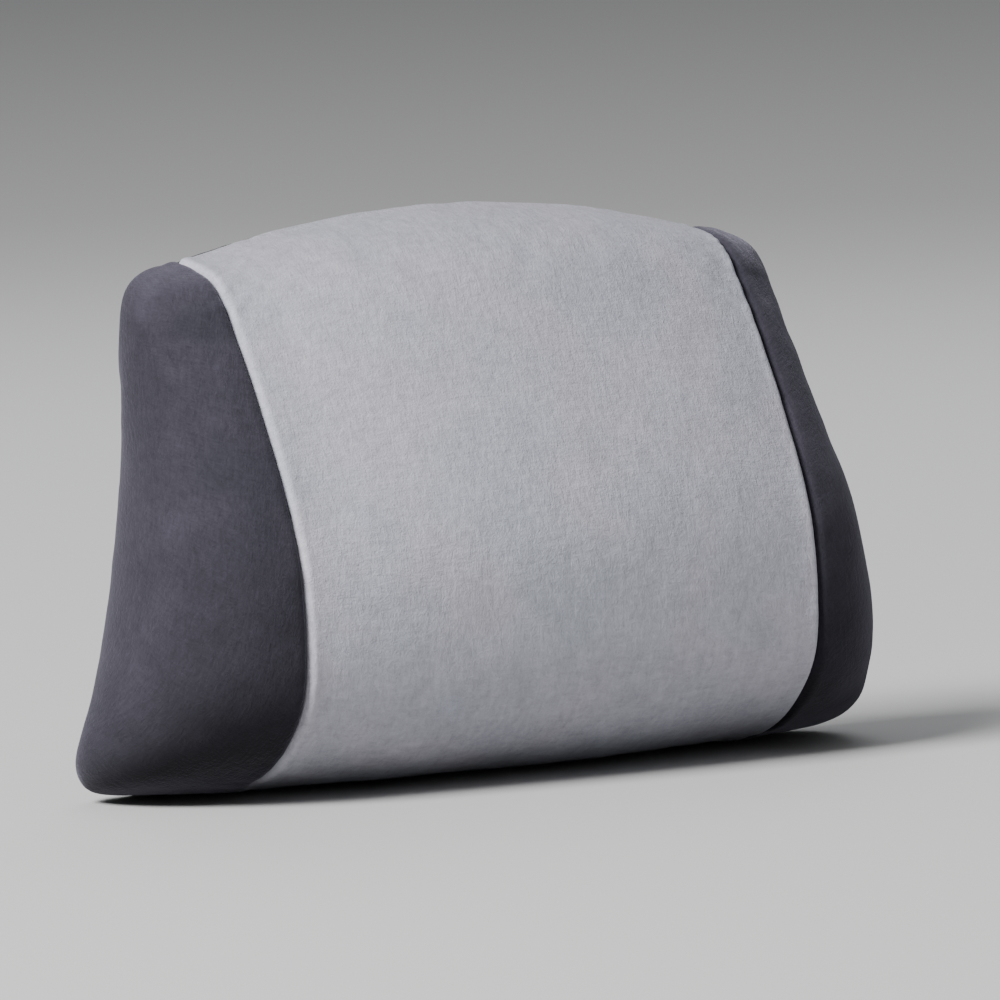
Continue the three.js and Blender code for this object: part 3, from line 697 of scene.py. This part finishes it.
def back_half(name, up):
    ob = panel(name, "back", backing)
    bm = bmesh.new()
    bm.from_mesh(ob.data)
    level = (ZIP_Z + (ZIP_SLOT if up else -ZIP_SLOT)) * MM
    bmesh.ops.bisect_plane(bm, geom=bm.verts[:] + bm.edges[:] + bm.faces[:], plane_co=(0, 0, level), plane_no=(0, 0, 1),
                           clear_inner=up, clear_outer=not up, dist=1e-6)
    cut = [e for e in bm.edges if e.is_boundary and all(abs(v.co.z - level) < 1e-6 for v in e.verts)]
    for v in {v for e in cut for v in e.verts}:
        t = min(1.0, max(0.0, (abs(v.co.x) / MM - 106) / 7))
        t = t * t * (3 - 2 * t)
        v.co.z += (ZIP_Z * MM + (0.0001 if up else -0.0001) - level) * t
        v.co.y -= 0.0005 * t
    # the edge is folded under, beside the zip
    for dy, dz in ((-0.0004, -0.00035), (-0.0007, 0.0002), (-0.0005, 0.0010), (0.0, 0.0040)):
        ret = bmesh.ops.extrude_edge_only(bm, edges=cut)
        vs = [g for g in ret["geom"] if isinstance(g, bmesh.types.BMVert)]
        cut = [g for g in ret["geom"] if isinstance(g, bmesh.types.BMEdge) and g.is_boundary and all(v in vs for v in g.verts)]
        s = 1 if up else -1
        for v in vs:
            v.co.y += dy
            v.co.z += dz * s * (1 if abs(v.co.x) < 0.108 or dz > 0 else 0)
    bmesh.ops.recalc_face_normals(bm, faces=bm.faces)
    if sum(f.normal.y for f in bm.faces) < 0:
        bmesh.ops.reverse_faces(bm, faces=bm.faces)
    bm.to_mesh(ob.data)
    bm.free()
    ob.data.polygons.foreach_set("use_smooth", [True] * len(ob.data.polygons))
    return ob


back_up = thicken(back_half("cushion_back_panel_upper", True), 0.5)
back_low = thicken(back_half("cushion_back_panel_lower", False), 0.5)
for ob, node, slot in ((front_panel, "cover_centre_panel", "grey_suede"), (right_panel, "cover_side_panel_right", "charcoal_suede"),
                       (left_panel, "cover_side_panel_left", "charcoal_suede"), (back_up, "cover_back_panel_upper", "back_fabric"),
                       (back_low, "cover_back_panel_lower", "back_fabric")):
    apply_modifiers(ob)
    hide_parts(node)
    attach(ob, "cushion")

# ------------------------------------------------------------------ threads
thread_mat = moulded("sewing_thread", (0.060, 0.060, 0.068), 0.6, 0.6, 0.0, 0.3)
thread_grey = moulded("sewing_thread_light", (0.10, 0.10, 0.115), 0.6, 0.6, 0.0, 0.3)


def resample(line, step):
    """A polyline as evenly spaced smooth points."""
    p = np.asarray(line, float)
    out = []
    for i in range(len(p) - 1):
        p1, p2 = p[i], p[i + 1]
        p0 = p[i - 1] if i else 2 * p[0] - p[1]
        p3 = p[i + 2] if i + 2 < len(p) else 2 * p[-1] - p[-2]
        d = [max(((b - a) ** 2).sum() ** 0.25, 1e-4) for a, b in ((p0, p1), (p1, p2), (p2, p3))]
        m1 = ((p1 - p0) / d[0] - (p2 - p0) / (d[0] + d[1]) + (p2 - p1) / d[1]) * d[1]
        m2 = ((p2 - p1) / d[1] - (p3 - p1) / (d[1] + d[2]) + (p3 - p2) / d[2]) * d[1]
        t = np.linspace(0, 1, 40, endpoint=i == len(p) - 2)[:, None]
        out.append(p1 + m1 * t + (-3 * p1 + 3 * p2 - 2 * m1 - m2) * t * t + (2 * p1 - 2 * p2 + m1 + m2) * t ** 3)
    q = np.vstack(out)
    s = np.r_[0, np.cumsum(np.linalg.norm(np.diff(q, axis=0), axis=1))]
    n = max(2, int(round(s[-1] / step)) + 1)
    t = np.linspace(0, s[-1], n)
    return np.stack([np.interp(t, s, q[:, k]) for k in range(3)], -1), t


def tube(points, radius, sides=6, cap=True):
    """Vertices and faces of a round tube along points; radius may vary along it."""
    p = np.asarray(points, float)
    r = np.broadcast_to(radius, len(p))
    t = np.gradient(p, axis=0)
    t /= np.linalg.norm(t, axis=1, keepdims=True)
    ref = np.array([0.13, 0.2, 0.97]) if abs(t[0][2]) < 0.9 else np.array([0.97, 0.2, 0.13])
    n = np.zeros_like(p)
    n[0] = np.cross(t[0], ref)
    n[0] /= np.linalg.norm(n[0])
    for i in range(1, len(p)):
        v = n[i - 1] - t[i] * (n[i - 1] @ t[i])
        n[i] = v / np.linalg.norm(v)
    b2 = np.cross(t, n)
    a = np.arange(sides) / sides * 2 * np.pi
    v = p[:, None] + r[:, None, None] * (np.cos(a)[None, :, None] * n[:, None] + np.sin(a)[None, :, None] * b2[:, None])
    f = []
    for i in range(len(p) - 1):
        for j in range(sides):
            k = (j + 1) % sides
            f.append((i * sides + j, i * sides + k, (i + 1) * sides + k, (i + 1) * sides + j))
    if cap:
        f.append(tuple(range(sides - 1, -1, -1)))
        f.append(tuple((len(p) - 1) * sides + j for j in range(sides)))
    return v.reshape(-1, 3), f


def gather_parts(parts):
    verts, faces, n = [], [], 0
    for v, f in parts:
        verts.append(v)
        faces += [tuple(i + n for i in x) for x in f]
        n += len(v)
    return np.vstack(verts), faces


def stitch_row(path, normals, length=2.6, gap=0.9, dia=0.42):
    """Separate stitches along a line that lies on a cloth, in millimetres."""
    p = np.asarray(path, float)
    s = np.r_[0, np.cumsum(np.linalg.norm(np.diff(p, axis=0), axis=1))]
    parts = []
    at_s = gap / 2
    while at_s + length < s[-1]:
        t = np.linspace(at_s, at_s + length, 7)
        q = np.stack([np.interp(t, s, p[:, k]) for k in range(3)], -1)
        m = np.stack([np.interp(t, s, normals[:, k]) for k in range(3)], -1)
        rise = dia * (np.array([-0.45, 0.15, 0.32, 0.36, 0.32, 0.15, -0.45]))
        parts.append(tube(q + m * rise[:, None], dia / 2 * np.array([0.5, 0.9, 1, 1, 1, 0.9, 0.5]), 6))
        at_s += length + gap
    return parts


from mathutils.bvhtree import BVHTree


def lay_on(ob, line, ray, back=0.02):
    """Points dropped on an object's surface along ray, each with the reversed ray as its normal."""
    me = ob.data
    tree = BVHTree.FromPolygons([v.co for v in me.vertices], [tuple(q.vertices) for q in me.polygons])
    pts, nrm = [], []
    for q in line:
        o = Vector(q * MM) - Vector(ray) * back
        hit, n, _, _ = tree.ray_cast(o, Vector(ray))
        if hit is None:
            continue
        pts.append(np.array(hit) / MM)
        nrm.append(-np.array(ray, float))
    return np.array(pts), np.array(nrm)


def finish_piece(ob, body="cushion", stands_for=()):
    if stands_for:
        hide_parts(*stands_for)
    if body:
        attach(ob, body)
    return ob


# ------------------------------------------------------------------ straps
STRAP_Y, STRAP_T, STRAP_END, BAR_Y, LOOP_R = 8.4, 1.6, 134.0, 12.8, 2.4
BARS = {-1: -32.6, 1: 20.4}


def strap_line(bar, s):
    y_mid, sewn = STRAP_Y + STRAP_T / 2, 0.3 + STRAP_T / 2
    line = [[s * STRAP_END, sewn], [s * (STRAP_END - 9), sewn + 0.05]]
    for i in range(1, 6):
        f = i / 5
        line.append([s * (STRAP_END - 9 - 17 * f), sewn + (y_mid - sewn) * (f * f * (3 - 2 * f))])
    line += [[bar + s * 15, y_mid], [bar + s * 6, y_mid + 0.4]]
    for i in range(9):
        a = -math.pi / 2 - math.pi * i / 8
        line.append([bar + s * LOOP_R * math.cos(a), BAR_Y + LOOP_R * math.sin(a)])
    line += [[bar + s * 6, BAR_Y + 1.2], [bar + s * 12, y_mid + STRAP_T + 0.6], [bar + s * 34, y_mid + STRAP_T + 0.35]]
    return np.array([[x, y, 0] for x, y in line])


webbing_mat = woven("elastic_webbing", (0.008, 0.008, 0.010), (0.040, 0.040, 0.046), 0.0013, 0.16, 0.8, 0.0002)


def strap(name, s):
    line, t = resample(strap_line(BARS[s], s), 0.8)
    tan = np.gradient(line, axis=0)
    tan /= np.linalg.norm(tan, axis=1, keepdims=True)
    nrm = np.stack([-tan[:, 1], tan[:, 0], 0 * t], -1)
    z = np.linspace(-15, 15, 101)
    edge = np.sqrt(np.clip(1 - np.clip((np.abs(z) - 14.2) / 0.8, 0, 1) ** 2, 0, 1))
    rib = 0.13 * np.abs(np.sin(np.pi * z / 1.5)) * (np.abs(z) < 13.5)
    half = (STRAP_T / 2 - 0.1) * edge
    ring_z = np.r_[z, z[::-1][1:-1]]
    ring_h = np.r_[half - 0.06 + rib, -(half - 0.06 + rib)[::-1][1:-1]]
    k = len(ring_z)
    # slack: the elastic waves a little along its free run
    free = np.clip((t - 28) / 12, 0, 1) * np.clip((t[-1] - 62 - t) / 12, 0, 1)
    wave = 0.22 * np.sin(t / 9.0 + s) * free
    drift = 0.25 * np.sin(t / 31.0 + 1.3 * s) * free
    weft = 0.04 * np.cos(2 * np.pi * t / 1.6)
    verts = line[:, None] + nrm[:, None] * (ring_h[None, :, None] + np.sign(ring_h)[None, :, None] * weft[:, None, None]) + nrm[:, None] * wave[:, None, None]
    verts[..., 2] += ring_z[None, :] + drift[:, None]
    uv = np.stack([np.broadcast_to(ring_z[None], (len(t), k)), np.broadcast_to(t[:, None], (len(t), k))], -1) * MM
    n = len(t)
    faces = []
    for i in range(n - 1):
        for j in range(k):
            m = (j + 1) % k
            faces.append((i * k + j, i * k + m, (i + 1) * k + m, (i + 1) * k + j))
    flat, fl_uv = verts.reshape(-1, 3), uv.reshape(-1, 2)
    # heat-sealed ends, each closed with one face
    faces.append(tuple(range(k - 1, -1, -1)))
    faces.append(tuple((n - 1) * k + j for j in range(k)))
    ob = make_object(name, flat * MM, faces, webbing_mat, fl_uv)
    bm = bmesh.new()
    bm.from_mesh(ob.data)
    bmesh.ops.recalc_face_normals(bm, faces=bm.faces)
    bm.to_mesh(ob.data)
    bm.free()
    return ob, line, nrm


def box_path(x0, x1, z0, z1, cross=True):
    loops = [[(x0, z0), (x1, z0), (x1, z1), (x0, z1), (x0, z0)]]
    if cross:
        loops += [[(x0, z0), (x1, z1)], [(x0, z1), (x1, z0)]]
    out = []
    for q in loops:
        q = np.array(q, float)
        s = np.r_[0, np.cumsum(np.linalg.norm(np.diff(q, axis=0), axis=1))]
        t = np.linspace(0, s[-1], max(3, int(s[-1] / 0.6)))
        out.append(np.stack([np.interp(t, s, q[:, 0]), np.full(len(t), 30.0), np.interp(t, s, q[:, 1])], -1))
    return out


for name, s in (("cushion_strap_left", -1), ("cushion_strap_right", 1)):
    ob, _, _ = strap(name, s)
    parts = []
    for path in box_path(s * 126.3, s * 132.8, -13, 13) + box_path(BARS[s] + s * 15, BARS[s] + s * 30, -12.6, 12.6):
        q, m = lay_on(ob, path, (0, -1, 0), 0.0)
        parts += stitch_row(q, m, 1.9, 0.55, 0.45)
    v, f = gather_parts(parts)
    st = make_object(name + "_stitches", v * MM, f, thread_grey)
    if s < 0:
        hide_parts("strap_left")
        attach(ob, "cushion")
        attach(st, "cushion")
    else:
        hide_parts("strap_right")
        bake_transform(ob)
        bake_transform(st)

# ------------------------------------------------------------------ zip
COIL_R = 0.27
for name, up, phase in (("upper", 1, 0.0), ("lower", -1, math.pi)):
    pitch = 1.4
    t = np.arange(0, 2 * 103.6 / pitch * 2 * np.pi, 2 * np.pi / 11)
    x = -103.6 + t / (2 * np.pi) * pitch
    q = np.stack([x, -1.75 + 0.50 * np.sin(t + phase), ZIP_Z + up * (1.45 - 0.86 * np.cos(t + phase))], -1)
    v, f = tube(q, COIL_R, 6)
    # the cord that the coil is sewn on, inside it
    cx = np.linspace(-103.6, 103.6, 120)
    cv, cf = tube(np.stack([cx, np.full_like(cx, -1.8), np.full_like(cx, ZIP_Z + up * 1.75)], -1), 0.26, 6)
    v, f = gather_parts([(v, f), (cv, cf)])
    coil = make_object("cushion_zip_coil_" + name, v * MM, f, coil_nylon)
    finish_piece(coil, "cushion", ("zipper_coil_" + name,))
    # tape: woven, with a thicker bead beside the coil and a fine selvedge
    zz = np.r_[np.linspace(2.8, 4.2, 10), np.linspace(4.6, 13.6, 16), np.linspace(14.0, 14.8, 6)]
    th = 0.40 - 0.0 * zz
    th = 0.27 + 0.12 * np.exp(-(((zz - 3.4) / 0.5) ** 2)) + 0.08 * np.exp(-(((zz - 14.3) / 0.4) ** 2))
    th[0] = th[-1] = 0.12
    xs2 = np.linspace(-112, 112, 180)
    ring_z = np.r_[zz, zz[::-1]]
    ring_y = np.r_[-2.3 + th, (-2.3 - th)[::-1]]
    vv = np.stack([np.broadcast_to(xs2[:, None], (len(xs2), len(ring_z))), np.broadcast_to(ring_y[None], (len(xs2), len(ring_z))),
                   np.broadcast_to(ZIP_Z + up * ring_z[None], (len(xs2), len(ring_z)))], -1).copy()
    k = len(ring_z)
    ff = [(i * k + j, i * k + (j + 1) % k, (i + 1) * k + (j + 1) % k, (i + 1) * k + j) for i in range(len(xs2) - 1) for j in range(k)]
    ff += [tuple(range(k - 1, -1, -1)), tuple((len(xs2) - 1) * k + j for j in range(k))]
    tape = make_object("cushion_zip_tape_" + name, vv.reshape(-1, 3) * MM, ff, tape_mat, vv.reshape(-1, 3)[:, [0, 2]] * MM)
    bm = bmesh.new()
    bm.from_mesh(tape.data)
    bmesh.ops.recalc_face_normals(bm, faces=bm.faces)
    bm.to_mesh(tape.data)
    bm.free()
    finish_piece(tape, "cushion", ("zipper_tape_" + name,))
    # two rows of topstitch hold the tape to the folded edge of the back panel
    panel_ob = back_up if up > 0 else back_low
    parts = []
    for off in (ZIP_SLOT + 2.0, ZIP_SLOT + 8.5):
        xx = np.linspace(-109, 109, 400)
        q, m = lay_on(panel_ob, np.stack([xx, 0 * xx + 30, 0 * xx + ZIP_Z + up * off], -1), (0, -1, 0), 0.0)
        parts += stitch_row(q, m, 2.7, 0.8, 0.40)
    if up > 0:
        for sx in (-1, 1):  # bar tacks across the zip's ends
            zz2 = np.linspace(ZIP_Z + 3.9, ZIP_Z + 12.1, 20)
            q, m = lay_on(panel_ob, np.stack([0 * zz2 + sx * 109.6, 0 * zz2 + 30, zz2], -1), (0, -1, 0), 0.0)
            parts += stitch_row(q, m, 2.2, 0.5, 0.42)
    v, f = gather_parts(parts)
    finish_piece(make_object("cushion_zip_topstitch_" + name, v * MM, f, thread_mat))

# ------------------------------------------------------------------ carried-over nodes
def finish_node(name, mat, bevel=0.0, segs=2):
    ob = nodes[name]
    ob.data.materials.clear()
    ob.data.materials.append(mat)
    if bevel:
        m = ob.modifiers.new("soft edges", "BEVEL")
        m.width, m.segments, m.limit_method, m.angle_limit = bevel * MM, segs, "ANGLE", math.radians(35)
        m.harden_normals = False
    return ob


for n, m, b in (("buckle_socket", nylon, 0.4), ("buckle_plug", nylon, 0.4), ("zipper_slider", gun, 0.2), ("zipper_pull_tab", gun, 0.18),
                ("zipper_stop_left", gun, 0.2), ("zipper_stop_right", gun, 0.2)):
    finish_node(n, m, b)

def raised_bar(a, b, r, n=9):
    """A straight raised bar with rounded ends."""
    a, b = np.array(a, float), np.array(b, float)
    d = (b - a) / np.linalg.norm(b - a)
    k = np.linspace(-1, 1, n)
    ends = np.sqrt(np.clip(1 - np.linspace(1, 0, 4) ** 2, 0.02, 1)) * r
    pts = [a + d * r * (1 - np.sqrt(1 - (e / r) ** 2 * 0.999)) for e in ends] + [b - d * r * (1 - np.sqrt(1 - (e / r) ** 2 * 0.999)) for e in ends[::-1]]
    return tube(np.array(pts), np.r_[ends, ends[::-1]], 10)


def raised_frame(x0, x1, z0, z1, y, corner, r, radius_n=6):
    """A raised line round a rounded rectangle that lies on a face with constant y."""
    pts = []
    for cx, cz, a0 in ((x1 - corner, z1 - corner, 0), (x0 + corner, z1 - corner, 90), (x0 + corner, z0 + corner, 180), (x1 - corner, z0 + corner, 270)):
        for k in range(radius_n + 1):
            a = math.radians(a0 + 90 * k / radius_n)
            pts.append((cx + corner * math.cos(a), y, cz + corner * math.sin(a)))
    pts.append(pts[0])
    q, _ = resample(pts, 0.8)
    return tube(q, r, 8, cap=False)


parts = [raised_frame(-26, -6.5, -13.5, 13.5, 18.3, 3.0, 0.42)]
parts += [raised_bar((x, 18.3, -9.5), (x, 18.3, 9.5), 0.55) for x in (-23, -20.6, -18.2)]
v, f = gather_parts(parts)
finish_piece(make_object("buckle_socket_relief", v * MM, f, nylon))
parts = [raised_bar((x, 17.4, -11), (x, 17.4, 11), 0.5) for x in (7.2, 9.6, 12.0)]
for sz in (-1, 1):
    parts += [raised_bar((x, 10.6, sz * 16.85), (x, 15.0, sz * 16.85), 0.38) for x in (-13.4, -11.6, -9.8, -8.0, -6.2)]
v, f = gather_parts(parts)
finish_piece(make_object("buckle_plug_relief", v * MM, f, nylon), "plug")
v, f = raised_frame(68.2, 88.6, ZIP_Z - 2.6, ZIP_Z + 2.6, 2.0, 1.4, 0.16)
finish_piece(make_object("zip_pull_tab_relief", v * MM, f, gun), "pull_tab")

# ------------------------------------------------------------------ filling
for node, name, mat, slot_name, amount, scale, fill in (
        ("wadding_front", "filling_wadding_front", wad_mat, "wadding", 0.7, 7.0, 0.9), ("wadding_back", "filling_wadding_back", wad_mat, "wadding", 0.7, 7.0, 0.9),
        ("foam_core", "filling_foam_core", foam_mat, "foam", 0.5, 4.0, 0.95)):
    src = nodes[node]
    bm = bmesh.new()
    bm.from_mesh(src.data)
    bm.transform(src.matrix_world)
    bmesh.ops.remove_doubles(bm, verts=bm.verts, dist=1e-6)
    bmesh.ops.subdivide_edges(bm, edges=bm.edges[:], cuts=2, use_grid_fill=True)
    bmesh.ops.triangulate(bm, faces=bm.faces[:])
    bm.normal_update()
    pts = np.array([v.co for v in bm.verts]) / MM
    dig = amount * (0.5 + 0.5 * noise3(pts / scale, 41)) * 0.9
    for v, d in zip(bm.verts, dig):
        v.co -= v.normal * float(d) * MM
    me = bpy.data.meshes.new(name)
    bm.to_mesh(me)
    bm.free()
    me.materials.clear()
    me.materials.append(mat)
    me.polygons.foreach_set("use_smooth", [True] * len(me.polygons))
    ob = bpy.data.objects.new(name, me)
    bpy.context.scene.collection.objects.link(ob)
    finish_piece(ob, "cushion", (node,))

# ------------------------------------------------------------------ stage, light and camera
lo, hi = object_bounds()
floor_z = lo.z
bpy.ops.mesh.primitive_plane_add(size=80, location=(0, 0, floor_z))
floor = bpy.context.object
floor.name = "floor"
fmat, fnt, fb = mat_new("studio_floor")
fb.inputs["Base Color"].default_value = (0.50, 0.50, 0.50, 1)
fb.inputs["Roughness"].default_value = 0.8
fb.inputs["Specular IOR Level"].default_value = 0.2
floor.data.materials.append(fmat)

world = bpy.data.worlds.new("studio")
bpy.context.scene.world = world
world.use_nodes = True
world.node_tree.nodes["Background"].inputs[0].default_value = (0.95, 0.97, 1.0, 1)
world.node_tree.nodes["Background"].inputs[1].default_value = 0.20

AZ, EL, ROLL = math.radians(-33.7), math.radians(5.4), math.radians(-1.33)
back_dir = Vector((math.sin(AZ) * math.cos(EL), -math.cos(AZ) * math.cos(EL), math.sin(EL)))
right_dir = Vector((math.cos(AZ), math.sin(AZ), 0))


def area(name, where, size, power, color=(1, 1, 1), target=(0, -0.04, 0)):
    d = bpy.data.lights.new(name, "AREA")
    d.shape, d.size, d.size_y, d.energy, d.color = "RECTANGLE", size[0], size[1], power, color
    o = bpy.data.objects.new(name, d)
    bpy.context.scene.collection.objects.link(o)
    o.location = where
    o.rotation_euler = (Vector(target) - Vector(where)).to_track_quat("-Z", "Y").to_euler()
    return o


centre_pt = Vector((0, -0.045, 0.0))
area("key", centre_pt + back_dir * 2.3 - right_dir * 2.5 + Vector((0, 0, 2.9)), (1.9, 1.7), 475, (1.0, 0.995, 0.985))
area("overhead", centre_pt + Vector((0, 0.6, 4.5)), (10, 10), 60)
area("back_fill", centre_pt - back_dir * 1.9 + Vector((0, 0, 1.7)), (1.6, 1.2), 15, (0.97, 0.98, 1.0))

cam_data = bpy.data.cameras.new("camera")
cam_data.sensor_width = 36
cam_data.lens = 396
cam = bpy.data.objects.new("camera", cam_data)
bpy.context.scene.collection.objects.link(cam)
aim = Vector((0.003, -0.04, 0.004))
cam.location = aim + back_dir * 4.2
cam.rotation_mode = "QUATERNION"
look = (-back_dir).to_track_quat("-Z", "Y")
cam.rotation_quaternion = look @ Matrix.Rotation(ROLL, 3, "Z").to_quaternion()
cam_data.clip_start, cam_data.clip_end = 0.1, 60
bpy.context.scene.camera = cam
